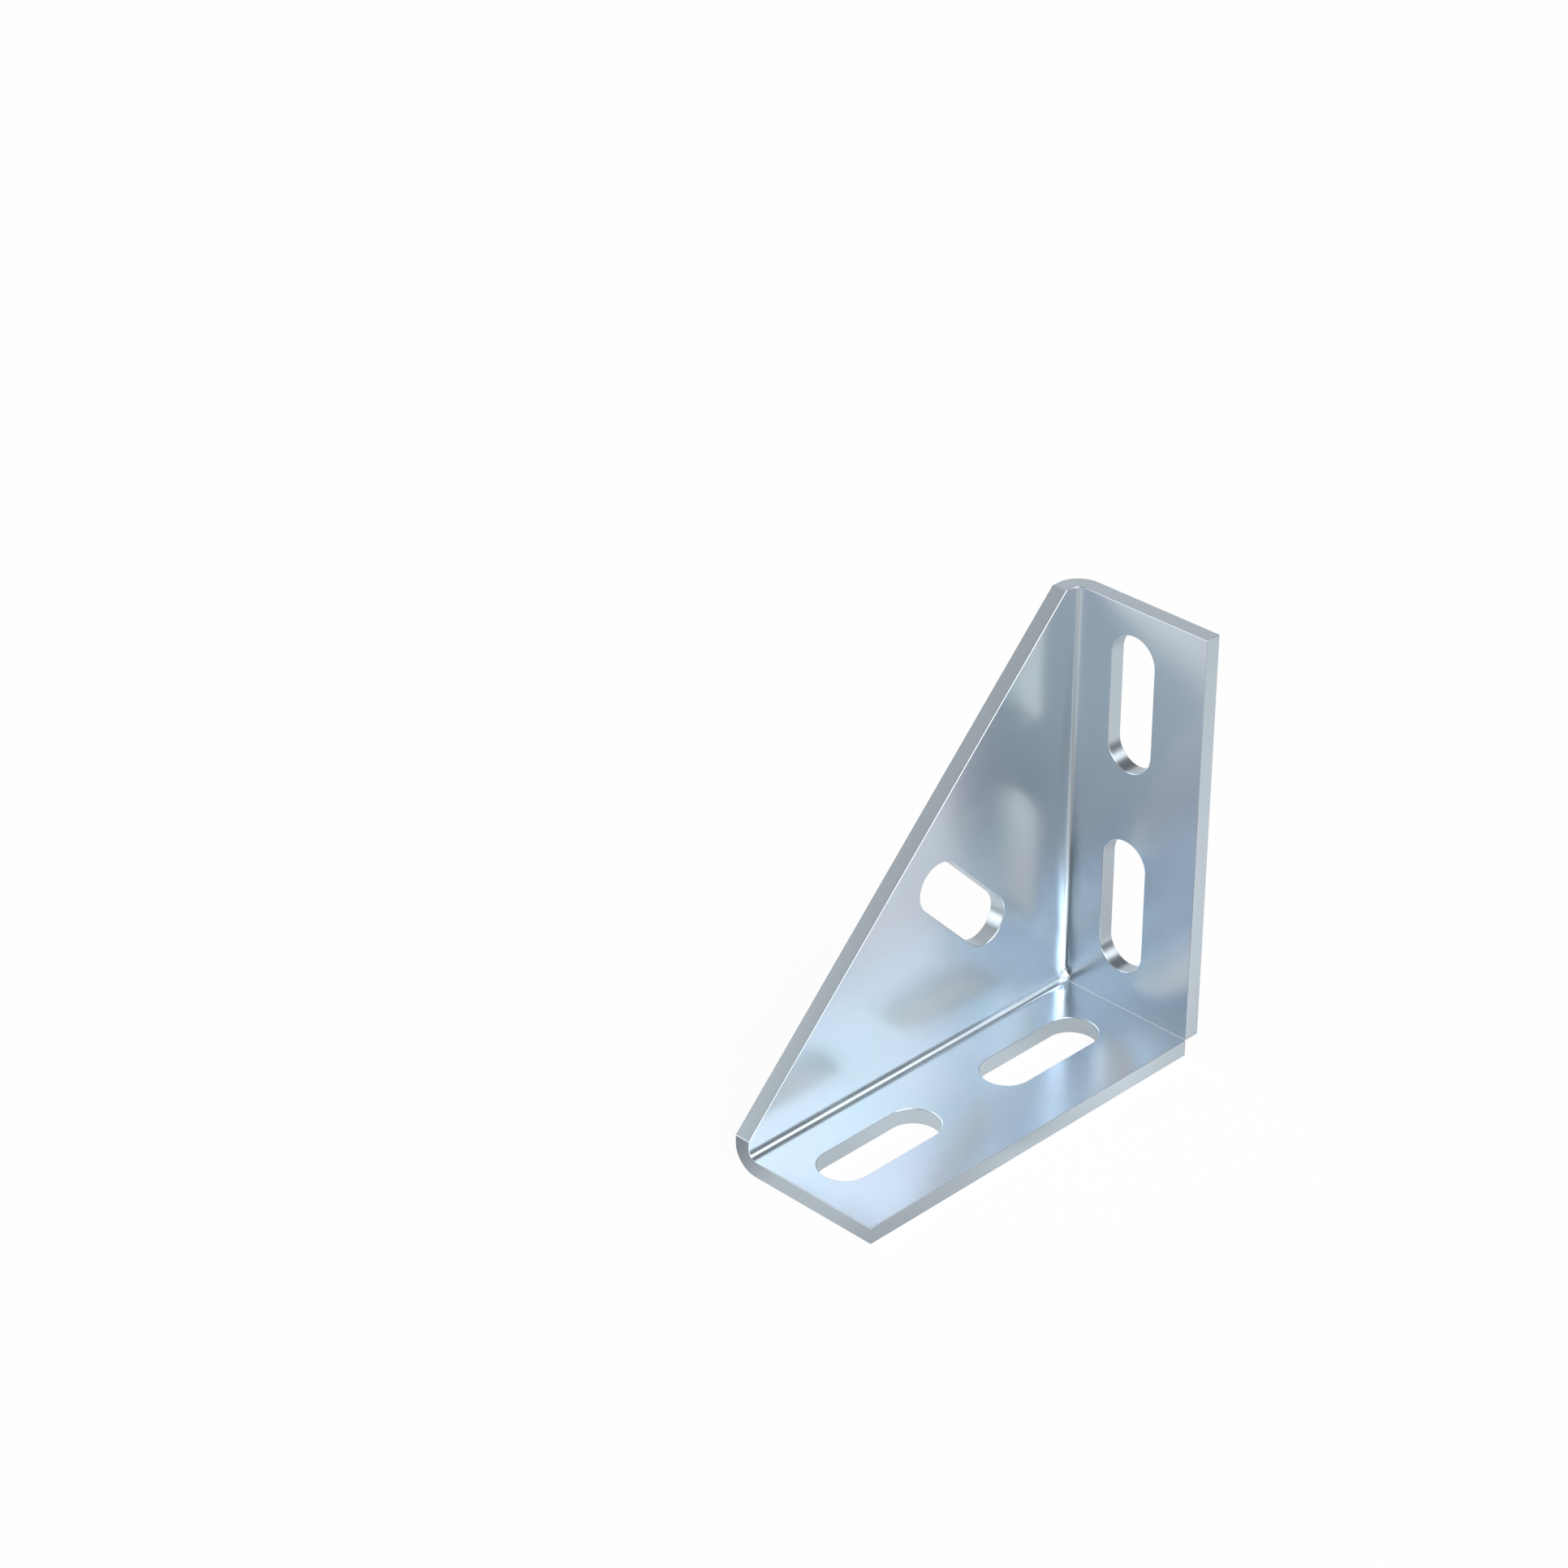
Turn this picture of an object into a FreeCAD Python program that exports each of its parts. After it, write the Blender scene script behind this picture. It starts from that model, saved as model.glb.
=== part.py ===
import FreeCAD, Part
import math
import os
from Sketcher import Constraint

# Strut angle fitting: one folded sheet with two slotted legs and a slotted gusset web.
# The origin is the middle of the foot's underside: X runs from the web to the free edge,
# Y runs towards the upright leg and Z runs up.

NODE = "angle_fitting"
SIZES = {
    "sheet_thick": 4,       # thickness of the steel sheet
    "bend_inside": 2,       # inside radius of both bends
    "leg_wide": 40,         # width over the web and a leg
    "leg_long": 104,        # length of each leg, from the outer heel
    "tip_land": 8,          # depth of a leg's tip end, outer face to the sloping edge
    "seam_setback": 0.1,    # how far each leg's heel end stops short of the other leg
    "slot_wide": 12,        # width of all five slots
    "slot_long": 33.3,      # length of all five slots
    "slot_first": 30,       # outer heel to the middle of a leg's first slot
    "slot_tip": 23.3,       # middle of a leg's second slot to the leg's tip
    "brace_reach": 38.6,    # outer face of each leg to the middle of the web's slot
    "edge_round": 0.25,     # rounding along the sheet's cut outline
    "slot_bevel": 0.25,     # bevel round both rims of every slot
}

vector = FreeCAD.Vector
upward = vector(0, 0, 1)
START, END, CENTRE = range(1, 4)
ORIGIN, UP_AXIS = range(-1, -3, -1)
ACROSS_AXIS = ORIGIN
ROW_COUNT = 2
PROBE_COUNT = 8
OUTWARD_COUNT = 3
QUARTER = math.pi / 2
SLANT = math.pi / 4


# Driving sizes
def make_sheet(doc):
    """Write every independent size into a sheet and give each one a name."""
    sheet = doc.addObject("Spreadsheet::Sheet", "sizes")
    for row, (alias, value) in enumerate(SIZES.items(), start=1):
        sheet.set(f"A{row}", alias)
        sheet.set(f"B{row}", str(value))
        sheet.setAlias(f"B{row}", alias)
    doc.recompute()
    return sheet


# Sketch helpers
def new_sketch(body, name, role, lift):
    """Make a sketch on one of the body's own planes, lifted along the plane's normal."""
    plane = [item for item in body.Origin.OriginFeatures if item.Role == role][0]
    sketch = body.newObject("Sketcher::SketchObject", name)
    sketch.AttachmentSupport = [(plane, "")]
    sketch.MapMode = "FlatFace"
    sketch.setExpression("AttachmentOffset.Base.z", lift)
    return sketch


def fix(sketch, kind, *refs):
    """Add one constraint that carries no size."""
    sketch.addConstraint(Constraint(kind, *refs))


def drive(sketch, name, kind, refs, start, expression):
    """Add one sized constraint, begin it at its drawn value and tie it to a size."""
    index = sketch.addConstraint(Constraint(kind, *refs, start))
    sketch.renameConstraint(index, name)
    sketch.setExpression(f"Constraints.{name}", expression)


def line(sketch, start, end, construction=False):
    """Draw one straight line between two (across, up) points."""
    segment = Part.LineSegment(vector(*start, 0), vector(*end, 0))
    return sketch.addGeometry(segment, construction)


def arc(sketch, centre, radius):
    """Draw the quarter circle that lies above and left of its centre."""
    circle = Part.Circle(vector(*centre, 0), upward, radius)
    return sketch.addGeometry(Part.ArcOfCircle(circle, QUARTER, 2 * QUARTER), False)


# The folded leg
def draw_fold(sketch):
    """Draw the upright's plan: the web's root, the bend and the flat leg."""
    thick = SIZES["sheet_thick"]
    inside = SIZES["bend_inside"]
    outside = inside + thick
    free = SIZES["leg_wide"] / 2
    heel = SIZES["leg_long"] / 2
    centre = (outside - free, heel - outside)

    outer_bend = arc(sketch, centre, outside)
    inner_bend = arc(sketch, centre, inside)
    outer_face = line(sketch, (centre[0], heel), (free, heel))
    free_edge = line(sketch, (free, heel), (free, heel - thick))
    inner_face = line(sketch, (free, heel - thick), (centre[0], heel - thick))
    root = line(sketch, (thick - free, centre[1]), (-free, centre[1]))

    fix(sketch, "Tangent", outer_bend, START, outer_face, START)
    fix(sketch, "Coincident", outer_face, END, free_edge, START)
    fix(sketch, "Coincident", free_edge, END, inner_face, START)
    fix(sketch, "Tangent", inner_face, END, inner_bend, START)
    fix(sketch, "Coincident", inner_bend, END, root, START)
    fix(sketch, "Coincident", root, END, outer_bend, END)
    fix(sketch, "Coincident", outer_bend, CENTRE, inner_bend, CENTRE)
    fix(sketch, "PointOnObject", outer_bend, CENTRE, root)
    fix(sketch, "Horizontal", outer_face)
    fix(sketch, "Horizontal", inner_face)
    fix(sketch, "Horizontal", root)
    fix(sketch, "Vertical", free_edge)
    drive(sketch, "bend_outside", "Radius", (outer_bend,), outside,
          "sizes.bend_inside + sizes.sheet_thick")
    drive(sketch, "bend_inside", "Radius", (inner_bend,), inside, "sizes.bend_inside")
    drive(sketch, "web_side", "DistanceX", (outer_bend, END, ORIGIN, START), free,
          "sizes.leg_wide / 2")
    drive(sketch, "free_side", "DistanceX", (ORIGIN, START, free_edge, START), free,
          "sizes.leg_wide / 2")
    drive(sketch, "heel", "DistanceY", (ORIGIN, START, outer_face, START), heel,
          "sizes.leg_long / 2")


def add_upright(body):
    """Fold the upright leg and its bend, stopping just short of the foot."""
    sketch = new_sketch(body, "upright_view", "XY_Plane",
                        "sizes.sheet_thick + sizes.seam_setback")
    draw_fold(sketch)
    return add_pad(body, "upright_leg", sketch,
                   "sizes.leg_long - sizes.sheet_thick - sizes.seam_setback")


def mitre_bend(body):
    """Cut the bend's heel end back to the slant where it meets the foot's bend."""
    sketch = new_sketch(body, "mitre_view", "YZ_Plane", "sizes.leg_wide / 2")
    heel = SIZES["leg_long"] / 2
    bend = SIZES["bend_inside"] + SIZES["sheet_thick"]
    stop = SIZES["sheet_thick"] + SIZES["seam_setback"]
    upright = line(sketch, (heel - bend, bend), (heel - bend, stop))
    level = line(sketch, (heel - bend, stop), (heel - stop, stop))
    slant = line(sketch, (heel - stop, stop), (heel - bend, bend))
    fix(sketch, "Coincident", upright, END, level, START)
    fix(sketch, "Coincident", level, END, slant, START)
    fix(sketch, "Coincident", slant, END, upright, START)
    fix(sketch, "Vertical", upright)
    fix(sketch, "Horizontal", level)
    drive(sketch, "bend_line", "DistanceX", (ORIGIN, START, upright, START), heel - bend,
          "sizes.leg_long / 2 - sizes.bend_inside - sizes.sheet_thick")
    drive(sketch, "bend_height", "DistanceY", (ORIGIN, START, upright, START), bend,
          "sizes.bend_inside + sizes.sheet_thick")
    drive(sketch, "stop_line", "DistanceX", (ORIGIN, START, level, END), heel - stop,
          "sizes.leg_long / 2 - sizes.sheet_thick - sizes.seam_setback")
    drive(sketch, "stop_height", "DistanceY", (ORIGIN, START, level, END), stop,
          "sizes.sheet_thick + sizes.seam_setback")
    return cut_through(body, "bend_mitre", sketch)


def add_pad(body, name, sketch, length):
    """Pad a sketch along its normal by an expression."""
    pad = body.newObject("PartDesign::Pad", name)
    pad.Profile = sketch
    pad.setExpression("Length", length)
    body.Document.recompute()
    return pad


# The gusset web
def add_web(body):
    """Lay the flat gusset's upper half between the bend, the mitre and the slope."""
    sketch = new_sketch(body, "web_view", "YZ_Plane", "-sizes.leg_wide / 2")
    heel = SIZES["leg_long"] / 2
    bend = SIZES["bend_inside"] + SIZES["sheet_thick"]
    top = SIZES["leg_long"]
    land = SIZES["tip_land"]
    halfway = (top + land) / 2
    corners = [(heel - bend, bend), (heel - bend, top), (heel - land, top),
               (heel - halfway, halfway)]
    sides = [line(sketch, corner, corners[(index + 1) % len(corners)])
             for index, corner in enumerate(corners)]
    for index, side in enumerate(sides):
        fix(sketch, "Coincident", side, END, sides[(index + 1) % len(sides)], START)
    bend_side, top_side, slope, mitre = sides
    slant = line(sketch, (heel, 0), corners[3], True)
    fix(sketch, "Vertical", bend_side)
    fix(sketch, "Horizontal", top_side)
    fix(sketch, "Perpendicular", slope, slant)
    fix(sketch, "PointOnObject", slant, START, ACROSS_AXIS)
    fix(sketch, "Coincident", slant, END, mitre, START)
    fix(sketch, "PointOnObject", bend_side, START, slant)
    fix(sketch, "Angle", slant, QUARTER + SLANT)
    drive(sketch, "heel", "DistanceX", (ORIGIN, START, slant, START), heel,
          "sizes.leg_long / 2")
    drive(sketch, "bend_line", "DistanceX", (ORIGIN, START, bend_side, START), heel - bend,
          "sizes.leg_long / 2 - sizes.bend_inside - sizes.sheet_thick")
    drive(sketch, "top", "DistanceY", (ORIGIN, START, top_side, START), top,
          "sizes.leg_long")
    drive(sketch, "slope_top", "DistanceX", (ORIGIN, START, slope, START), heel - land,
          "sizes.leg_long / 2 - sizes.tip_land")
    add_pad(body, "web", sketch, "sizes.sheet_thick")
    return sketch


def mirror_half(body, web_view):
    """Mirror the upright half across the heel's slant to make the foot half."""
    mirror = body.newObject("PartDesign::Mirrored", "foot_half")
    mirror.TransformMode = "Whole shape"
    mirror.MirrorPlane = (web_view, ["Axis0"])
    body.Tip = mirror
    body.Document.recompute()
    return mirror


# The slots
def draw_slot(sketch, middle, slant):
    """Draw a round-ended slot about its middle and return its centre line and middle."""
    radius = SIZES["slot_wide"] / 2
    half = SIZES["slot_long"] / 2 - radius
    along = (math.cos(slant) * half, math.sin(slant) * half)
    aside = (-math.sin(slant) * radius, math.cos(slant) * radius)
    near = (middle[0] - along[0], middle[1] - along[1])
    far = (middle[0] + along[0], middle[1] + along[1])

    def half_circle(centre, first):
        circle = Part.Circle(vector(*centre, 0), upward, radius)
        return sketch.addGeometry(Part.ArcOfCircle(circle, first, first + 2 * QUARTER), False)

    def beside(point, way):
        return (point[0] + way * aside[0], point[1] + way * aside[1])

    far_end = half_circle(far, slant - QUARTER)
    left = line(sketch, beside(far, 1), beside(near, 1))
    near_end = half_circle(near, slant + QUARTER)
    right = line(sketch, beside(near, -1), beside(far, -1))
    spine = line(sketch, near, far, True)
    centre = sketch.addGeometry(Part.Point(vector(*middle, 0)), True)

    for before, after in ((far_end, left), (left, near_end), (near_end, right), (right, far_end)):
        fix(sketch, "Tangent", before, END, after, START)
    fix(sketch, "Equal", far_end, near_end)
    fix(sketch, "Coincident", spine, START, near_end, CENTRE)
    fix(sketch, "Coincident", spine, END, far_end, CENTRE)
    fix(sketch, "Symmetric", spine, START, spine, END, centre, START)
    drive(sketch, "half_width", "Radius", (far_end,), radius, "sizes.slot_wide / 2")
    drive(sketch, "between_centres", "Distance", (spine,), 2 * half,
          "sizes.slot_long - sizes.slot_wide")
    return spine, centre


def cut_through(body, name, sketch):
    """Punch a sketch through the sheet behind it and check that it cuts."""
    before = body.Shape.Volume
    pocket = body.newObject("PartDesign::Pocket", name)
    pocket.Profile = sketch
    pocket.Type = "ThroughAll"
    body.Document.recompute()
    if body.Shape.Volume >= before:
        raise RuntimeError(f"{name} removes nothing")
    return pocket


def repeat_slot(body, name, pocket, sketch, backwards):
    """Repeat a leg's first slot once, further along the leg."""
    row = body.newObject("PartDesign::LinearPattern", name)
    row.Originals = [pocket]
    row.Direction = (sketch, ["V_Axis"])
    row.Reversed = backwards
    row.Occurrences = ROW_COUNT
    row.setExpression("Length", "sizes.leg_long - sizes.slot_first - sizes.slot_tip")
    body.Tip = row
    body.Document.recompute()
    return row


def slot_upright(body):
    """Cut the two slots of the upright leg, in line along its middle."""
    sketch = new_sketch(body, "upright_slot_view", "XZ_Plane",
                        "sizes.sheet_thick - sizes.leg_long / 2")
    reach = SIZES["slot_first"]
    spine, centre = draw_slot(sketch, (0, reach), QUARTER)
    fix(sketch, "Vertical", spine)
    fix(sketch, "PointOnObject", centre, START, UP_AXIS)
    drive(sketch, "reach", "DistanceY", (ORIGIN, START, centre, START), reach,
          "sizes.slot_first")
    pocket = cut_through(body, "upright_slot", sketch)
    return repeat_slot(body, "upright_slots", pocket, sketch, False)


def slot_web(body):
    """Cut the web's slot, which slants up and away from the heel."""
    sketch = new_sketch(body, "web_slot_view", "YZ_Plane",
                        "sizes.sheet_thick - sizes.leg_wide / 2")
    across = SIZES["leg_long"] / 2 - SIZES["brace_reach"]
    spine, centre = draw_slot(sketch, (across, SIZES["brace_reach"]), QUARTER + SLANT)
    fix(sketch, "Angle", spine, QUARTER + SLANT)
    drive(sketch, "reach_out", "DistanceX", (ORIGIN, START, centre, START), across,
          "sizes.leg_long / 2 - sizes.brace_reach")
    drive(sketch, "reach_up", "DistanceY", (ORIGIN, START, centre, START),
          SIZES["brace_reach"], "sizes.brace_reach")
    return cut_through(body, "web_slot", sketch)


# The rounded edges
def filled_round(shape, edge):
    """Return how many of the points round an edge's middle lie inside the metal."""
    probe = SIZES["edge_round"] / 5
    middle = (edge.FirstParameter + edge.LastParameter) / 2
    point = edge.valueAt(middle)
    run = edge.tangentAt(middle)
    helper = vector(1, 0, 0) if abs(run.x) < math.cos(SLANT) else vector(0, 1, 0)
    first = run.cross(helper).normalize()
    second = run.cross(first).normalize()
    inside = 0
    for step in range(PROBE_COUNT):
        angle = (step + 1 / 2) * 4 * QUARTER / PROBE_COUNT
        offset = first * (math.cos(angle) * probe) + second * (math.sin(angle) * probe)
        if shape.isInside(point + offset, 1e-6, False):
            inside += 1
    return inside


def rim_edges(shape):
    """Name the edges of every slot's rims, which are the inner outlines of flat faces."""
    rims = []
    for face in shape.Faces:
        for wire in face.Wires:
            if not wire.isSame(face.OuterWire):
                rims.extend(wire.Edges)
    return [f"Edge{index}" for index, edge in enumerate(shape.Edges, start=1)
            if any(edge.isSame(rim) for rim in rims)]


def outward_edges(shape):
    """Name the outline's square edges, where about a quarter turn of metal is left."""
    rims = rim_edges(shape)
    names = []
    for index, edge in enumerate(shape.Edges, start=1):
        name = f"Edge{index}"
        if name not in rims and filled_round(shape, edge) <= OUTWARD_COUNT:
            names.append(name)
    return names


def round_edges(body):
    """Round the sheet's outline as its edges are after finishing."""
    base = body.Tip
    fillet = body.newObject("PartDesign::Fillet", "edge_rounds")
    fillet.Base = (base, outward_edges(base.Shape))
    fillet.setExpression("Radius", "sizes.edge_round")
    body.Document.recompute()
    return fillet


def bevel_rims(body):
    """Bevel both rims of every slot as a deburring tool leaves them."""
    base = body.Tip
    bevel = body.newObject("PartDesign::Chamfer", "slot_bevels")
    bevel.Base = (base, rim_edges(base.Shape))
    bevel.setExpression("Size", "sizes.slot_bevel")
    body.Document.recompute()
    return bevel


# Checks and files
def check(doc, body):
    """Stop where any feature has failed or the part is not one sound solid."""
    for item in doc.Objects:
        if "Invalid" in item.State or "Error" in item.State:
            raise RuntimeError(f"{item.Name} failed: {item.State}")
    shape = body.Shape
    if shape.isNull() or not shape.isValid() or len(shape.Solids) != 1:
        raise RuntimeError(f"{body.Label} is not one valid solid")


def main():
    """Fold the fitting, cut its slots, round its edges and write it out."""
    doc = FreeCAD.newDocument("strut_angle_fitting")
    make_sheet(doc)
    body = doc.addObject("PartDesign::Body", NODE)
    body.Label = NODE
    add_upright(body)
    mitre_bend(body)
    web_view = add_web(body)
    slot_upright(body)
    mirror_half(body, web_view)
    slot_web(body)
    round_edges(body)
    bevel_rims(body)
    body.Placement = FreeCAD.Placement()
    doc.recompute()
    check(doc, body)
    os.makedirs("parts", exist_ok=True)
    body.Shape.exportStep(f"parts/{body.Label}.step")
    box = body.Shape.optimalBoundingBox(True, False)
    print(f"{body.Label}: {box.XLength:.3f} x {box.YLength:.3f} x {box.ZLength:.3f} mm,"
          f" {body.Shape.Volume:.1f} mm3, {len(body.Shape.Faces)} faces")


main()
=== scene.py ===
"""A strut angle fitting: one folded, slotted and zinc plated sheet, on a plain pale floor."""

import logging
import math
from dataclasses import dataclass
from enum import Enum
from typing import Any, Sequence

import bmesh
import bpy
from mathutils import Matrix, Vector


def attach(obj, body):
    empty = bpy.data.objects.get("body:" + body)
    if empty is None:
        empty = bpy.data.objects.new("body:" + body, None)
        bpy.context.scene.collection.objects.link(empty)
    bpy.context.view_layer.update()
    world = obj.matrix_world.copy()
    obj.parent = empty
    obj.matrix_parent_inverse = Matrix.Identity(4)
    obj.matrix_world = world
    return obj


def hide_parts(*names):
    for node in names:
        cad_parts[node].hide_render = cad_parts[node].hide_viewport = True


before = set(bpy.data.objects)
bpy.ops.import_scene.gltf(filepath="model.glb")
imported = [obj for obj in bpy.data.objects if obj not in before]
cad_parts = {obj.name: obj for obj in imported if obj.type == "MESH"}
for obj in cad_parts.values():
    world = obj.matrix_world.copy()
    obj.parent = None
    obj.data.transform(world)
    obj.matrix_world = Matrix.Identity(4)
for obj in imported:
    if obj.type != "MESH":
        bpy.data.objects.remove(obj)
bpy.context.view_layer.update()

log = logging.getLogger("angle_fitting")
MM = 0.001
SAME_SPOT = 1e-7
CLOSE_SHARE = 1e-12
FLAT_TURN = 1e-3
SQUARE_TURN = math.radians(30)

FACTOR, NUMBER_A, NUMBER_B, COLOUR_A, COLOUR_B = 0, 2, 3, 6, 7
NUMBER_OUT, COLOUR_OUT = 0, 2
NOISE_SPAN = {"From Min": 0.35, "From Max": 0.65}
NOISE_SHIFT = (0.31, 0.17, 0.23)

Corner = tuple[float, float, float]


class Surface(Enum):
    """The two broad faces of the sheet."""

    INNER = "inner"
    OUTER = "outer"


def linear(hex_code: str) -> tuple[float, float, float, float]:
    """Turn an sRGB hex colour into the linear colour that a shader socket takes.

    Args:
        hex_code: The colour as six hex digits after a hash sign.

    Returns:
        Linear red, green, blue and an alpha of one.
    """
    channels = [int(hex_code[i:i + 2], 16) / 255 for i in (1, 3, 5)]
    straight = [c / 12.92 if c <= 0.04045 else ((c + 0.055) / 1.055) ** 2.4 for c in channels]
    return (*straight, 1.0)


def add_node(tree: bpy.types.NodeTree, kind: str, settings: dict[str, Any] | None = None,
             inputs: dict[str | int, Any] | None = None) -> bpy.types.Node:
    """Add one node, set its properties and set or link its inputs.

    Args:
        tree: The node tree that takes the node.
        kind: The node's type name.
        settings: The node's own properties by name.
        inputs: Values or output sockets by input name or index.

    Returns:
        The new node.
    """
    node = tree.nodes.new(kind)
    for name, value in (settings or {}).items():
        setattr(node, name, value)
    for key, value in (inputs or {}).items():
        socket = node.inputs[key]
        if isinstance(value, bpy.types.NodeSocket):
            tree.links.new(value, socket)
        else:
            socket.default_value = value
    return node


def to_mesh_object(source: bpy.types.Object, name: str) -> bpy.types.Object:
    """Bake an object's modifiers into a plain mesh object and drop the source.

    Args:
        source: The object with live modifiers.
        name: The plain object's name.

    Returns:
        The plain mesh object, linked to the scene.
    """
    graph = bpy.context.evaluated_depsgraph_get()
    mesh = bpy.data.meshes.new_from_object(source.evaluated_get(graph), depsgraph=graph)
    mesh.name = name
    old = source.data
    bpy.data.objects.remove(source)
    bpy.data.meshes.remove(old)
    made = bpy.data.objects.new(name, mesh)
    bpy.context.scene.collection.objects.link(made)
    return made


@dataclass(frozen=True)
class ZincPlate:
    """Bright zinc electroplate with a clear blue passivation, on cold rolled steel.

    The thin plate is a metal mirror blurred by the steel's rolled skin. The passivation
    gives the eye faint cyan and lilac clouds, and the cut edges are a little greyer and
    duller than the rolled faces.
    """

    name: str = "zinc_plated_steel"
    colour: str = "#DDE8F1"
    cyan: str = "#D8E8EF"
    lilac: str = "#E0E5F3"
    cut_colour: str = "#DAE6EF"
    roughness: float = 0.24
    roughness_play: float = 0.03
    cut_roughness: float = 0.28
    cloud_mm: float = 22.0
    cloud_detail: float = 3.0
    tint_mm: float = 34.0
    # The rolled grain is finer than the render can show, so it is drawn coarser.
    grain_mm: float = 0.5
    grain_depth_mm: float = 0.0006
    wave_mm: float = 18.0
    wave_detail: float = 1.0
    wave_depth_mm: float = 0.02

    def make(self) -> bpy.types.Material:
        """Build the plate's material.

        Returns:
            The node material.
        """
        material = bpy.data.materials.new(self.name)
        material.use_nodes = True
        tree = material.node_tree
        tree.nodes.clear()
        place = add_node(tree, "ShaderNodeTexCoord").outputs["Object"]
        shifted = add_node(tree, "ShaderNodeMapping", None, {
            "Vector": place, "Location": NOISE_SHIFT}).outputs[0]
        cut = add_node(tree, "ShaderNodeAttribute", {"attribute_name": "cut"}).outputs["Fac"]

        clouds = add_node(tree, "ShaderNodeTexNoise", None, {
            "Vector": place, "Scale": 1 / (self.cloud_mm * MM),
            "Detail": self.cloud_detail})
        hues = add_node(tree, "ShaderNodeTexNoise", None, {
            "Vector": shifted, "Scale": 1 / (self.tint_mm * MM)})
        cloudy = add_node(tree, "ShaderNodeMapRange", None, {
            **NOISE_SPAN, "Value": clouds.outputs["Fac"]})
        hue = add_node(tree, "ShaderNodeMapRange", None, {
            **NOISE_SPAN, "Value": hues.outputs["Fac"]})
        tint = add_node(tree, "ShaderNodeMix", {"data_type": "RGBA"}, {
            FACTOR: hue.outputs[0], COLOUR_A: linear(self.cyan), COLOUR_B: linear(self.lilac)})
        face = add_node(tree, "ShaderNodeMix", {"data_type": "RGBA"}, {
            FACTOR: cloudy.outputs[0], COLOUR_A: linear(self.colour),
            COLOUR_B: tint.outputs[COLOUR_OUT]})
        colour = add_node(tree, "ShaderNodeMix", {"data_type": "RGBA"}, {
            FACTOR: cut, COLOUR_A: face.outputs[COLOUR_OUT], COLOUR_B: linear(self.cut_colour)})

        skin = add_node(tree, "ShaderNodeTexNoise", None, {
            "Vector": shifted, "Scale": 1 / (self.cloud_mm * MM),
            "Detail": self.cloud_detail})
        dull = add_node(tree, "ShaderNodeMapRange", None, {
            **NOISE_SPAN, "Value": skin.outputs["Fac"],
            "To Min": self.roughness - self.roughness_play,
            "To Max": self.roughness + self.roughness_play})
        rough = add_node(tree, "ShaderNodeMix", {"data_type": "FLOAT"}, {
            FACTOR: cut, NUMBER_A: dull.outputs[0], NUMBER_B: self.cut_roughness})

        rolled = add_node(tree, "ShaderNodeTexNoise", None, {
            "Vector": shifted, "Scale": 1 / (self.wave_mm * MM),
            "Detail": self.wave_detail})
        wave = add_node(tree, "ShaderNodeBump", None, {
            "Strength": 1.0, "Distance": self.wave_depth_mm * MM, "Height": rolled.outputs["Fac"]})
        fine = add_node(tree, "ShaderNodeTexNoise", None, {
            "Vector": place, "Scale": 1 / (self.grain_mm * MM)})
        grain = add_node(tree, "ShaderNodeBump", None, {
            "Strength": 1.0, "Distance": self.grain_depth_mm * MM, "Height": fine.outputs["Fac"],
            "Normal": wave.outputs[0]})
        metal = add_node(tree, "ShaderNodeBsdfPrincipled", None, {
            "Base Color": colour.outputs[COLOUR_OUT], "Metallic": 1.0,
            "Roughness": rough.outputs[NUMBER_OUT], "Normal": grain.outputs[0]})
        add_node(tree, "ShaderNodeOutputMaterial", None, {"Surface": metal.outputs["BSDF"]})
        return material


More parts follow.
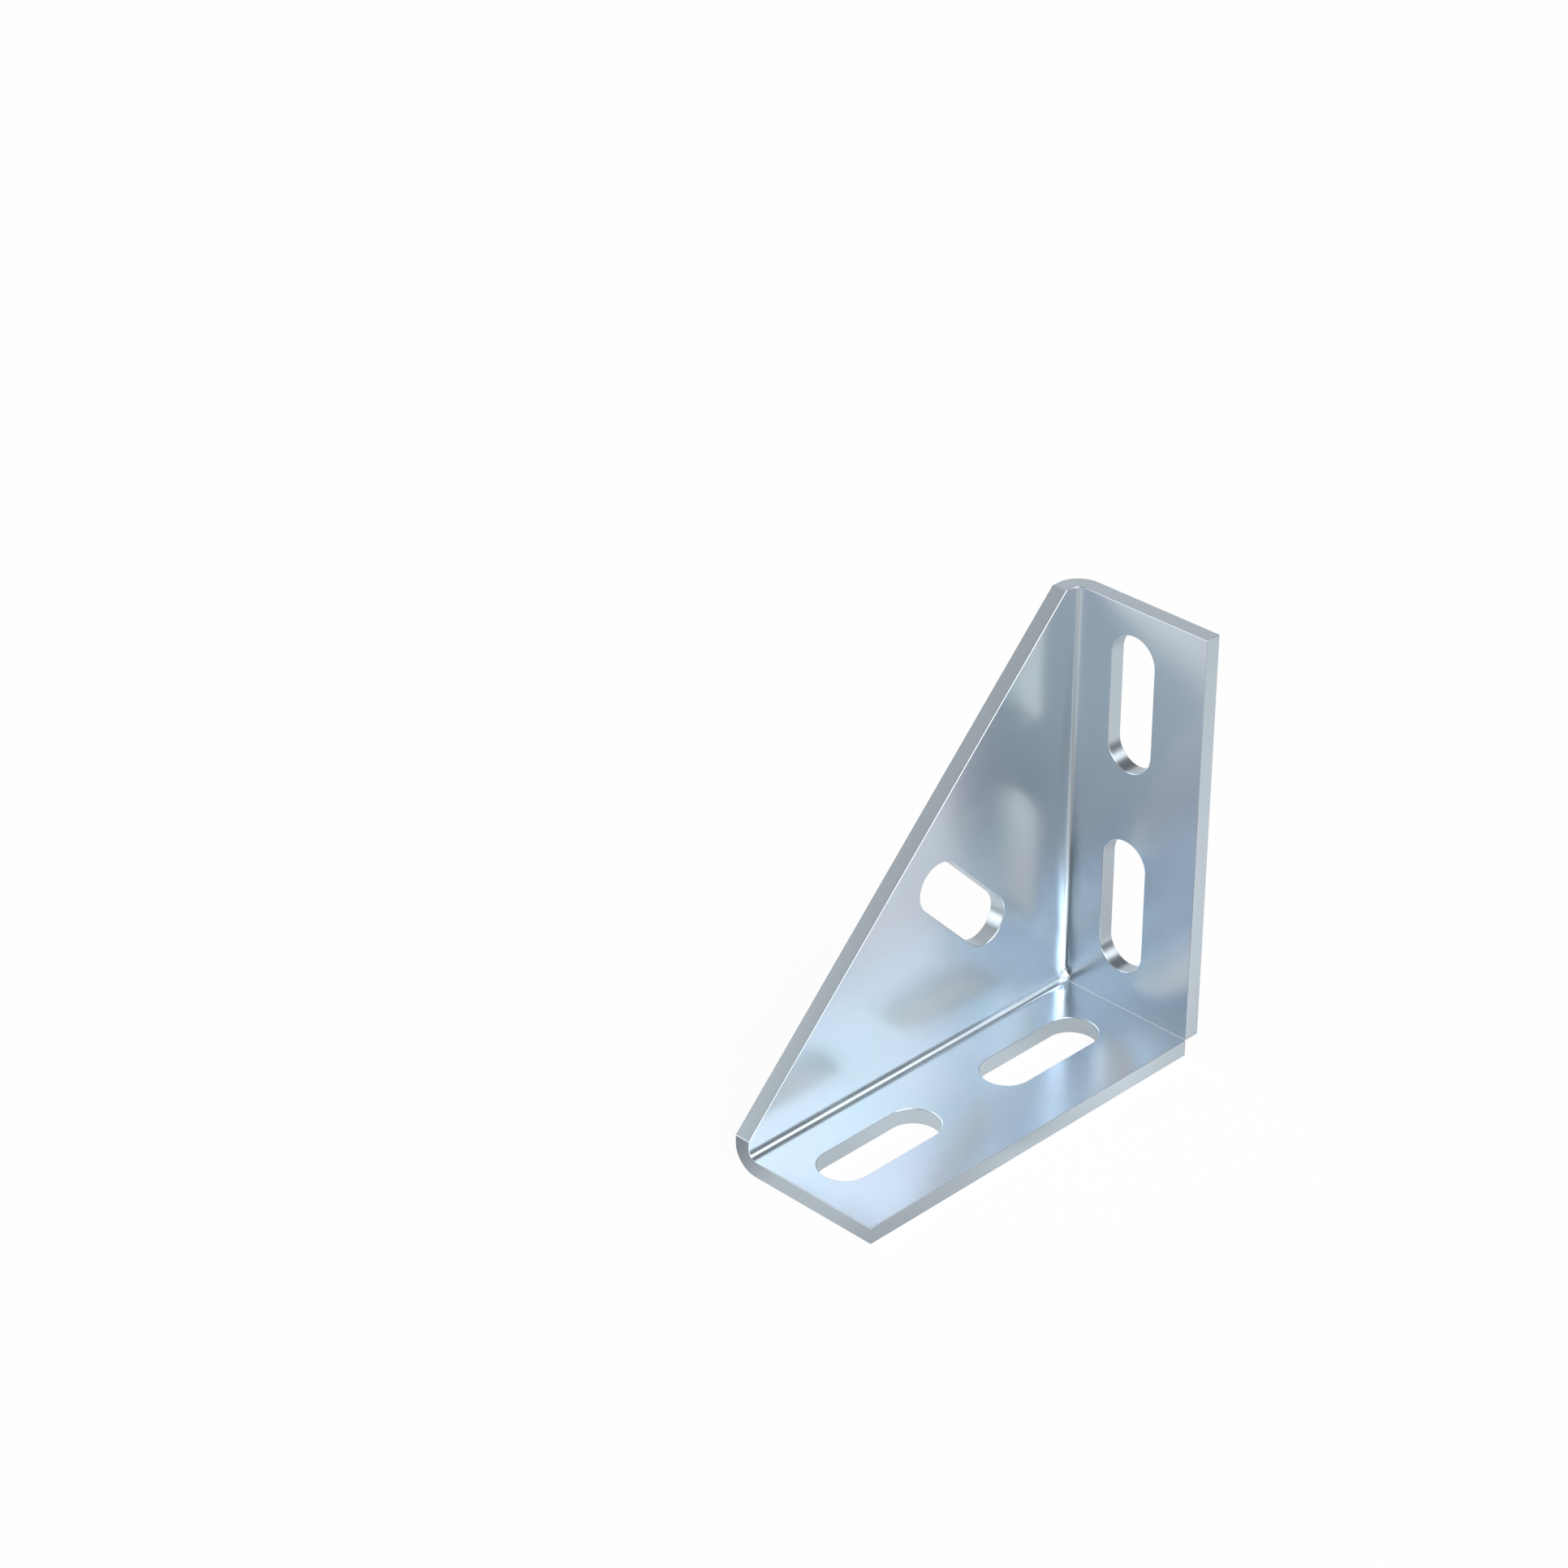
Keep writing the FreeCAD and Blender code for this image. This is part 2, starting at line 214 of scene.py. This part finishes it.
@dataclass
class FoldedSheet:
    """The fitting's one piece: an upright leg, a foot leg and the gusset web between them.

    Sizes are in millimetres, drawn from the outer heel: across runs from the web's outer
    face, out runs away from the heel along the foot and up runs along the upright. Each
    half is drawn as an upright, and the foot's is then turned over, so that out and up
    change places. The foot's bend is tight, and the upright's eases into its turn.
    """

    name: str = "folded_sheet"
    thick: float = 4.0
    bend_inside: float = 2.0
    upright_ease: float = 3.9
    settled: float = 8.2
    wide: float = 40.0
    long: float = 104.0
    tip_land: float = 8.0
    seam_setback: float = 0.03
    slot_wide: float = 12.0
    slot_long: float = 33.3
    slot_first: float = 30.0
    slot_step: float = 50.7
    brace_reach: float = 38.6
    edge_round: float = 0.18
    seam_round: float = 0.012
    bend_steps: int = 32
    slot_steps: int = 96
    round_steps: int = 3
    punch_depths: float = 4.0
    flat_weight: int = 100

    @property
    def bend_outside(self) -> float:
        """Outside radius of both bends."""
        return self.bend_inside + self.thick

    @property
    def stop(self) -> float:
        """Height at which the upright leg's heel end stops."""
        return self.thick + self.seam_setback

    def place(self, across: float, out: float, up: float) -> Vector:
        """Turn a point drawn from the heel, in millimetres, into the row frame in metres."""
        return Vector((across - self.wide / 2, self.long / 2 - out, up)) * MM

    def bend_curve(self, side: Surface, share: float, ease: float) -> tuple[float, float]:
        """Follow a bend from the web, at share 0, to the leg, at share 1.

        The outer face turns on a circle. The inner face turns on a conic that comes as
        near to the corner as the inside radius does. It is the circle itself where the
        ease is that radius, and a larger ease starts the turn further out.

        Args:
            side: Which face of the sheet.
            share: How far along the bend.
            ease: How far from the corner the inner face starts to turn, in millimetres.

        Returns:
            Across and out from the heel, in millimetres.
        """
        if side is Surface.OUTER:
            turn, radius = share * math.pi / 2, self.bend_outside
            return radius * (1 - math.cos(turn)), radius * (1 - math.sin(turn))
        near = self.bend_inside * (math.sqrt(2) - 1)
        pull = ease / (math.sqrt(2) * near) - 1
        web, corner, leg = (1 - share) ** 2, 2 * pull * share * (1 - share), share ** 2
        weights = web + corner + leg
        return self.thick + ease * leg / weights, self.thick + ease * web / weights

    def bend_shares(self, side: Surface) -> list[float]:
        """Share out a bend's steps so that one of them falls on the mitre's end.

        Args:
            side: Which face of the sheet.

        Returns:
            The shares from the web to the leg.
        """
        low, high = 0.0, 1.0
        while high - low > CLOSE_SHARE:
            middle = (low + high) / 2
            if self.bend_curve(side, middle, self.bend_inside)[1] > self.stop:
                low = middle
            else:
                high = middle
        shares = [step / self.bend_steps for step in range(self.bend_steps + 1)]
        nearest = min(shares[1:-1], key=lambda share: abs(share - low))
        shares[shares.index(nearest)] = low
        return shares

    def broad_face(self, shell: bmesh.types.BMesh, side: Surface,
                   far_ease: float) -> dict[str, list[Corner]]:
        """Add one broad face of the upright half: leg, bend and half web.

        Args:
            shell: The mesh being built.
            side: Which face of the sheet.
            far_ease: The inner face's ease above the heel corner, in millimetres.

        Returns:
            The face's boundary points along its top, its heel end and its slope.
        """
        inner = side is Surface.INNER
        level = self.thick if inner else 0.0
        root = level + self.bend_inside if inner else self.bend_outside
        far_root = level + far_ease if inner else self.bend_outside
        shares = self.bend_shares(side)
        near = [self.bend_curve(side, share, self.bend_inside) for share in shares]
        mitre = [(a, o, max(self.stop, o)) for a, o in near]
        ring = [(*self.bend_curve(side, share, far_ease), self.settled) for share in shares]
        rim = [(a, o, self.long) for a, o, _ in ring]
        for low, high in ((mitre, ring), (ring, rim)):
            for corners in zip(low, low[1:], high[1:], high):
                add_face(shell, self, corners)
        add_face(shell, self, [(self.wide, level, self.stop), (root, level, self.stop),
                               (far_root, level, self.settled), (far_root, level, self.long),
                               (self.wide, level, self.long)])
        halfway = (self.long + self.tip_land) / 2
        add_face(shell, self, [(level, root, root), (level, far_root, self.settled),
                               (level, far_root, self.long), (level, self.tip_land, self.long),
                               (level, halfway, halfway)])
        heel = [spot for spot in mitre[::-1] if spot[2] <= self.stop + SAME_SPOT]
        return {"top": [(self.wide, level, self.long), *rim[::-1],
                        (level, self.tip_land, self.long)],
                "heel": [(self.wide, level, self.stop), *heel],
                "slope": [(level, self.tip_land, self.long), (level, halfway, halfway)]}

    def half(self, shell: bmesh.types.BMesh, far_ease: float) -> None:
        """Add the upright half's two broad faces and the edges between them.

        Args:
            shell: The mesh being built.
            far_ease: The inner face's ease above the heel corner, in millimetres.
        """
        outer = self.broad_face(shell, Surface.OUTER, far_ease)
        inner = self.broad_face(shell, Surface.INNER, far_ease)
        for edge in ("top", "heel", "slope"):
            add_face(shell, self, outer[edge] + inner[edge][::-1])
        add_face(shell, self, [outer["heel"][0], inner["heel"][0], inner["top"][0],
                               outer["top"][0]])

    def blank(self) -> bpy.types.Object:
        """Fold the sheet without its slots: a tight foot bend and an eased upright bend.

        Returns:
            The closed shell as an object.
        """
        shell = bmesh.new()
        self.half(shell, self.bend_inside)
        self.turn_over(shell)
        self.half(shell, self.upright_ease)
        bmesh.ops.remove_doubles(shell, verts=shell.verts, dist=SAME_SPOT)
        flat = [e for e in shell.edges if len(e.link_faces) == 2
                and e.link_faces[0].normal.angle(e.link_faces[1].normal, 0) < FLAT_TURN]
        bmesh.ops.dissolve_edges(shell, edges=flat, use_verts=True)
        bmesh.ops.recalc_face_normals(shell, faces=shell.faces)
        mesh = bpy.data.meshes.new("blank")
        shell.to_mesh(mesh)
        shell.free()
        made = bpy.data.objects.new("blank", mesh)
        bpy.context.scene.collection.objects.link(made)
        return made

    def turn_over(self, shell: bmesh.types.BMesh) -> None:
        """Mirror what is built so far about the heel's slant, so that out and up swap.

        Args:
            shell: The mesh that holds one half.
        """
        heel = self.long / 2 * MM
        for vert in shell.verts:
            across, along, up = vert.co
            vert.co = Vector((across, heel - up, heel - along))

    def slot_tree(self) -> bpy.types.NodeTree:
        """Build the node tree that punches a slot at every place it is given.

        Returns:
            The tree, with the sheet's slot sizes as named inputs.
        """
        tree = bpy.data.node_groups.new("punch_slots", "GeometryNodeTree")
        face = tree.interface
        face.new_socket("Sheet", in_out="INPUT", socket_type="NodeSocketGeometry")
        for label in ("Slot width", "Slot length", "Punch depth", "First slot", "Slot step",
                      "Brace reach", "Leg length", "Sheet middle"):
            face.new_socket(label, in_out="INPUT", socket_type="NodeSocketFloat")
        face.new_socket("Finish", in_out="INPUT", socket_type="NodeSocketMaterial")
        face.new_socket("Sheet", in_out="OUTPUT", socket_type="NodeSocketGeometry")
        given = add_node(tree, "NodeGroupInput").outputs

        radius = add_node(tree, "ShaderNodeMath", {"operation": "DIVIDE"}, {
            0: given["Slot width"], 1: 2.0})
        run = add_node(tree, "ShaderNodeMath", {"operation": "SUBTRACT"}, {
            0: given["Slot length"], 1: given["Slot width"]})
        half_run = add_node(tree, "ShaderNodeMath", {"operation": "DIVIDE"}, {
            0: run.outputs[0], 1: -2.0})
        first_end = add_node(tree, "ShaderNodeCombineXYZ", None, {"X": half_run.outputs[0]})
        other_end = add_node(tree, "ShaderNodeCombineXYZ", None, {"X": run.outputs[0]})
        post = add_node(tree, "GeometryNodeMeshCylinder", {"fill_type": "NGON"}, {
            "Vertices": self.slot_steps, "Radius": radius.outputs[0],
            "Depth": given["Punch depth"]})
        ends = add_node(tree, "GeometryNodeMeshLine", {"mode": "OFFSET"}, {
            "Count": 2, "Start Location": first_end.outputs[0], "Offset": other_end.outputs[0]})
        pair = add_node(tree, "GeometryNodeInstanceOnPoints", None, {
            "Points": ends.outputs["Mesh"], "Instance": post.outputs["Mesh"]})
        solid = add_node(tree, "GeometryNodeRealizeInstances", None, {0: pair.outputs[0]})
        punch = add_node(tree, "GeometryNodeConvexHull", None, {0: solid.outputs[0]}).outputs[0]

        heel = add_node(tree, "ShaderNodeMath", {"operation": "DIVIDE"}, {
            0: given["Leg length"], 1: 2.0}).outputs[0]
        foot_start = add_node(tree, "ShaderNodeMath", {"operation": "SUBTRACT"}, {
            0: heel, 1: given["First slot"]})
        step_back = add_node(tree, "ShaderNodeMath", {"operation": "MULTIPLY"}, {
            0: given["Slot step"], 1: -1.0})
        web_out = add_node(tree, "ShaderNodeMath", {"operation": "SUBTRACT"}, {
            0: heel, 1: given["Brace reach"]})
        foot_first = add_node(tree, "ShaderNodeCombineXYZ", None, {"Y": foot_start.outputs[0]})
        foot_step = add_node(tree, "ShaderNodeCombineXYZ", None, {"Y": step_back.outputs[0]})
        upright_first = add_node(tree, "ShaderNodeCombineXYZ", None, {
            "Y": heel, "Z": given["First slot"]})
        upright_step = add_node(tree, "ShaderNodeCombineXYZ", None, {"Z": given["Slot step"]})
        web_place = add_node(tree, "ShaderNodeCombineXYZ", None, {
            "X": given["Sheet middle"], "Y": web_out.outputs[0], "Z": given["Brace reach"]})
        foot_row = add_node(tree, "GeometryNodeMeshLine", {"mode": "OFFSET"}, {
            "Count": 2, "Start Location": foot_first.outputs[0], "Offset": foot_step.outputs[0]})
        upright_row = add_node(tree, "GeometryNodeMeshLine", {"mode": "OFFSET"}, {
            "Count": 2, "Start Location": upright_first.outputs[0],
            "Offset": upright_step.outputs[0]})
        web_spot = add_node(tree, "GeometryNodeMeshLine", {"mode": "OFFSET"}, {
            "Count": 1, "Start Location": web_place.outputs[0]})
        quarter = math.pi / 2
        turns = ((foot_row, (0.0, 0.0, quarter)), (upright_row, (quarter, quarter, 0.0)),
                 (web_spot, (quarter, -quarter / 2, -quarter)))
        cutters = add_node(tree, "GeometryNodeJoinGeometry")
        for row, turn in turns:
            copies = add_node(tree, "GeometryNodeInstanceOnPoints", None, {
                "Points": row.outputs["Mesh"], "Instance": punch, "Rotation": turn})
            tree.links.new(copies.outputs[0], cutters.inputs[0])
        real = add_node(tree, "GeometryNodeRealizeInstances", None, {0: cutters.outputs[0]})
        cut = add_node(tree, "GeometryNodeMeshBoolean", {
            "operation": "DIFFERENCE", "solver": "EXACT"}, {"Mesh 1": given["Sheet"]})
        tree.links.new(real.outputs[0], cut.inputs["Mesh 2"])
        whole = add_node(tree, "GeometryNodeRealizeInstances", None, {0: cut.outputs["Mesh"]})
        dressed = add_node(tree, "GeometryNodeSetMaterial", None,
                           {"Geometry": whole.outputs[0], "Material": given["Finish"]})
        add_node(tree, "NodeGroupOutput", None, {0: dressed.outputs[0]})
        return tree

    def punch(self, blank: bpy.types.Object, finish: bpy.types.Material) -> bpy.types.Object:
        """Punch the five slots through the folded blank.

        Args:
            blank: The folded sheet without slots.
            finish: The material that the sheet takes.

        Returns:
            The slotted sheet.
        """
        tree = self.slot_tree()
        values = {"Slot width": self.slot_wide * MM, "Slot length": self.slot_long * MM,
                  "Punch depth": self.thick * self.punch_depths * MM,
                  "First slot": self.slot_first * MM, "Slot step": self.slot_step * MM,
                  "Brace reach": self.brace_reach * MM,
                  "Leg length": self.long * MM, "Sheet middle": (self.thick - self.wide) / 2 * MM,
                  "Finish": finish}
        modifier = blank.modifiers.new("punch", "NODES")
        modifier.node_group = tree
        for item in tree.interface.items_tree:
            if item.in_out == "INPUT" and item.name in values:
                modifier[item.identifier] = values[item.name]
        return to_mesh_object(blank, "slotted")

    def round_edges(self, sheet: bpy.types.Object) -> bpy.types.Object:
        """Round the square outward edges and carry each flat's shading up to its rounds.

        Args:
            sheet: The slotted sheet with sharp edges.

        Returns:
            The finished sheet.
        """
        work = bmesh.new()
        work.from_mesh(sheet.data)
        bmesh.ops.remove_doubles(work, verts=work.verts, dist=SAME_SPOT)
        bmesh.ops.recalc_face_normals(work, faces=work.faces)
        weight = work.edges.layers.float.new("bevel_weight_edge")
        for edge in work.edges:
            square = len(edge.link_faces) == 2 and edge.calc_face_angle(0) > SQUARE_TURN
            full = self.seam_round / self.edge_round if self.at_seam(edge) else 1.0
            edge[weight] = full if square and edge.is_convex else 0.0
        for item in work.faces:
            item.smooth = True
        work.to_mesh(sheet.data)
        work.free()
        bevel = sheet.modifiers.new("rounds", "BEVEL")
        bevel.limit_method = "WEIGHT"
        bevel.width = self.edge_round * MM
        bevel.segments = self.round_steps
        bevel.use_clamp_overlap = False
        shading = sheet.modifiers.new("shading", "WEIGHTED_NORMAL")
        shading.mode = "FACE_AREA"
        shading.weight = self.flat_weight
        return to_mesh_object(sheet, self.name)

    def at_seam(self, edge: bmesh.types.BMEdge) -> bool:
        """Tell whether an edge bounds the thin seam where the two heel ends meet.

        Args:
            edge: An edge of the slotted sheet.

        Returns:
            True where both its ends lie at the seam.
        """
        reach = (self.thick + 2 * self.seam_setback) * MM
        heel = self.long / 2 * MM
        return all(heel - vert.co.y < reach and vert.co.z < reach for vert in edge.verts)

    def mark_cuts(self, sheet: bpy.types.Object) -> None:
        """Mark the faces that a blade or punch cut, which lie inside the sheet's thickness.

        Args:
            sheet: The finished sheet.
        """
        marks = sheet.data.attributes.new("cut", "FLOAT", "FACE")
        edge = (self.thick / 2 - self.edge_round) * MM
        for item in sheet.data.polygons:
            marks.data[item.index].value = float(abs(self.off_middle(item.center)) < edge)

    def off_middle(self, spot: Vector) -> float:
        """Measure how far a point lies from the sheet's middle surface.

        Args:
            spot: The point, in metres.

        Returns:
            The distance in metres, less than half the thickness inside the metal.
        """
        across = spot.x / MM + self.wide / 2
        out = self.long / 2 - spot.y / MM
        level = min(out, spot.z / MM)
        bend, middle = self.bend_outside, self.bend_outside - self.thick / 2
        if across < bend and level < bend:
            return (math.hypot(bend - across, bend - level) - middle) * MM
        return (min(across, level) - self.thick / 2) * MM

    def build(self, finish: bpy.types.Material) -> bpy.types.Object:
        """Fold, punch and round the sheet and let it stand for its CAD node.

        Args:
            finish: The plated steel's material.

        Returns:
            The finished piece.
        """
        piece = self.round_edges(self.punch(self.blank(), finish))
        self.mark_cuts(piece)
        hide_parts("angle_fitting")
        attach(piece, "root")
        return piece


def add_face(shell: bmesh.types.BMesh, sheet: FoldedSheet, corners: Sequence[Corner]) -> None:
    """Add one face whose corners are drawn from the sheet's heel.

    Args:
        shell: The mesh being built.
        sheet: The sheet, which knows where its heel is.
        corners: The face's corners in order.
    """
    points: list[Vector] = []
    for corner in corners:
        spot = sheet.place(*corner)
        if not points or (spot - points[-1]).length > SAME_SPOT:
            points.append(spot)
    if (points[0] - points[-1]).length < SAME_SPOT:
        points.pop()
    shell.faces.new([shell.verts.new(spot) for spot in points])


@dataclass(frozen=True)
class Glow:
    """A soft panel, or a dark flag where its strength is negative, round the object."""

    turn_deg: float
    height_deg: float
    core_deg: float
    spread_deg: float
    strength: float

    def direction(self) -> Vector:
        """Point from the object to the panel's middle.

        Returns:
            The unit direction.
        """
        turn, height = math.radians(self.turn_deg), math.radians(self.height_deg)
        return Vector((math.cos(turn) * math.cos(height), math.sin(turn) * math.cos(height),
                       math.sin(height)))


@dataclass
class Studio:
    """Camera, white floor and a dome of soft panels.

    The camera's place and the height of the object's middle are in millimetres, and the
    floor's half side and the camera's clipping distances in metres.
    """

    lens: float = 100.0
    sensor: float = 36.0
    eye: Corner = (526.33, -583.76, 534.02)
    turn_deg: float = 45.0
    tilt_deg: float = 30.0
    near_clip: float = 0.01
    far_clip: float = 20.0
    floor_half: float = 3.0
    paper: str = "#F4F4F4"
    white: str = "#FFFFFF"
    middle_up: float = 40.0
    dome_level: float = 0.63
    floor_level: float = 0.71
    skirting: float = 0.02
    least: float = 0.03
    floor_glow: float = 0.95
    panels: tuple[Glow, ...] = (
        Glow(0, 36, 24, 37, 2.9),
        Glow(272, 35, 32, 42, -0.66),
        Glow(50, 36, 5, 15, 0.6),
        Glow(36, 5, 10, 20, -0.5),
        Glow(95, 52, 18, 34, -0.5),
        Glow(315, -30, 15, 35, -0.15),
        Glow(45, -32, 12, 28, 0.12),
        Glow(225, -30, 12, 30, -0.4),
        Glow(0, -35, 12, 30, -0.3),
        Glow(225, -10, 8, 24, 0.42),
        Glow(45, 22, 8, 24, -0.5),
        Glow(60, 25, 8, 24, 0.34),
        Glow(315, 62, 12, 28, 0.16),
        Glow(235, 14, 10, 28, 0.99),
        Glow(90, -30, 12, 34, -0.16),
        Glow(180, 20, 16, 40, -0.5),
        Glow(0, 75, 12, 32, 0.22),
        Glow(270, -35, 12, 30, -0.08),
        Glow(345, 10, 8, 22, -0.5),
        Glow(315, 30, 12, 28, 0.3),
    )

    def camera(self) -> None:
        """Set up the camera at the photograph's viewing angle."""
        data = bpy.data.cameras.new("camera")
        data.lens = self.lens
        data.sensor_width = self.sensor
        data.clip_start, data.clip_end = self.near_clip, self.far_clip
        shot = bpy.data.objects.new("camera", data)
        bpy.context.scene.collection.objects.link(shot)
        turn, tilt = math.radians(self.turn_deg), math.radians(self.tilt_deg)
        back = Vector((math.sin(turn) * math.cos(tilt), -math.cos(turn) * math.cos(tilt),
                       math.sin(tilt)))
        shot.location = Vector(self.eye) * MM
        shot.rotation_euler = (-back).to_track_quat("-Z", "Y").to_euler()
        bpy.context.scene.camera = shot

    def dome(self) -> bpy.types.NodeTree:
        """Build the node group that gives the dome's light in a direction.

        Returns:
            The group, from a unit direction to a strength.
        """
        group = bpy.data.node_groups.new("soft_panels", "ShaderNodeTree")
        group.interface.new_socket("Direction", in_out="INPUT", socket_type="NodeSocketVector")
        group.interface.new_socket("Strength", in_out="OUTPUT", socket_type="NodeSocketFloat")
        way = add_node(group, "NodeGroupInput").outputs[0]

        height = add_node(group, "ShaderNodeSeparateXYZ", None, {0: way}).outputs["Z"]
        total = add_node(group, "ShaderNodeMapRange", None, {
            "Value": height, "From Min": -self.skirting, "From Max": self.skirting,
            "To Min": self.floor_level, "To Max": self.dome_level}).outputs["Result"]
        for panel in self.panels:
            facing = add_node(group, "ShaderNodeVectorMath", {"operation": "DOT_PRODUCT"},
                              {0: way, 1: panel.direction()}).outputs["Value"]
            glow = add_node(group, "ShaderNodeMapRange", {"interpolation_type": "SMOOTHSTEP"}, {
                "Value": facing, "From Min": math.cos(math.radians(panel.spread_deg)),
                "From Max": math.cos(math.radians(panel.core_deg)), "To Min": 0.0,
                "To Max": panel.strength}).outputs["Result"]
            total = add_node(group, "ShaderNodeMath", {"operation": "ADD"},
                             {0: total, 1: glow}).outputs[0]
        lit = add_node(group, "ShaderNodeMath", {"operation": "MAXIMUM"}, {0: total, 1: self.least})
        add_node(group, "NodeGroupOutput", None, {0: lit.outputs[0]})
        return group

    def floor(self, dome: bpy.types.NodeTree) -> None:
        """Lay the plain white floor.

        Args:
            dome: The dome's node group, whose light the floor hands on to the metal.
        """
        half = self.floor_half
        mesh = bpy.data.meshes.new("floor")
        mesh.from_pydata([(-half, -half, 0), (half, -half, 0), (half, half, 0), (-half, half, 0)],
                         [], [(0, 1, 2, 3)])
        ground = bpy.data.objects.new("floor", mesh)
        bpy.context.scene.collection.objects.link(ground)
        material = bpy.data.materials.new("floor_paper")
        material.use_nodes = True
        tree = material.node_tree
        tree.nodes.clear()
        place = add_node(tree, "ShaderNodeTexCoord").outputs["Object"]
        offset = add_node(tree, "ShaderNodeVectorMath", {"operation": "SUBTRACT"},
                          {0: place, 1: (0.0, 0.0, self.middle_up * MM)}).outputs[0]
        way = add_node(tree, "ShaderNodeVectorMath", {"operation": "NORMALIZE"},
                       {0: offset}).outputs[0]
        handed_on = add_node(tree, "ShaderNodeGroup", {"node_tree": dome}, {0: way}).outputs[0]
        ray = add_node(tree, "ShaderNodeLightPath").outputs
        level = add_node(tree, "ShaderNodeMix", {"data_type": "FLOAT"}, {
            FACTOR: ray["Is Glossy Ray"], NUMBER_A: 1.0, NUMBER_B: handed_on}).outputs[NUMBER_OUT]
        white = add_node(tree, "ShaderNodeEmission", None, {"Strength": level})
        paper = add_node(tree, "ShaderNodeBsdfDiffuse", None, {"Color": linear(self.paper)})
        seen = add_node(tree, "ShaderNodeMath", {"operation": "MAXIMUM"},
                        {0: ray["Is Camera Ray"], 1: ray["Is Transmission Ray"]}).outputs[0]
        share = add_node(tree, "ShaderNodeMath", {"operation": "MULTIPLY_ADD"},
                         {0: seen, 1: self.floor_glow, 2: ray["Is Glossy Ray"]}).outputs[0]
        mixed = add_node(tree, "ShaderNodeMixShader", None,
                         {0: share, 1: paper.outputs[0], 2: white.outputs[0]})
        add_node(tree, "ShaderNodeOutputMaterial", None, {"Surface": mixed.outputs[0]})
        mesh.materials.append(material)

    def world(self, dome: bpy.types.NodeTree) -> None:
        """Light the studio from the dome.

        Args:
            dome: The dome's node group.
        """
        world = bpy.data.worlds.new("studio")
        world.use_nodes = True
        tree = world.node_tree
        tree.nodes.clear()
        way = add_node(tree, "ShaderNodeTexCoord").outputs["Generated"]
        light = add_node(tree, "ShaderNodeGroup", {"node_tree": dome}, {0: way}).outputs[0]
        ray = add_node(tree, "ShaderNodeLightPath").outputs
        level = add_node(tree, "ShaderNodeMix", {"data_type": "FLOAT"}, {
            FACTOR: ray["Is Camera Ray"], NUMBER_A: light, NUMBER_B: 1.0}).outputs[NUMBER_OUT]
        glow = add_node(tree, "ShaderNodeBackground", None, {
            "Color": linear(self.white), "Strength": level})
        add_node(tree, "ShaderNodeOutputWorld", None, {0: glow.outputs[0]})
        bpy.context.scene.world = world

    def build(self) -> None:
        """Set the whole studio."""
        dome = self.dome()
        self.camera()
        self.floor(dome)
        self.world(dome)
        bpy.context.scene.view_settings.view_transform = "Standard"


def main() -> None:
    """Build the fitting and its studio, and report each piece."""
    logging.basicConfig(level=logging.INFO, format="%(name)s: %(message)s")
    finish = ZincPlate().make()
    piece = FoldedSheet().build(finish)
    log.info("%s: %d faces", piece.name, len(piece.data.polygons))
    Studio().build()


if __name__ == "__main__":
    main()
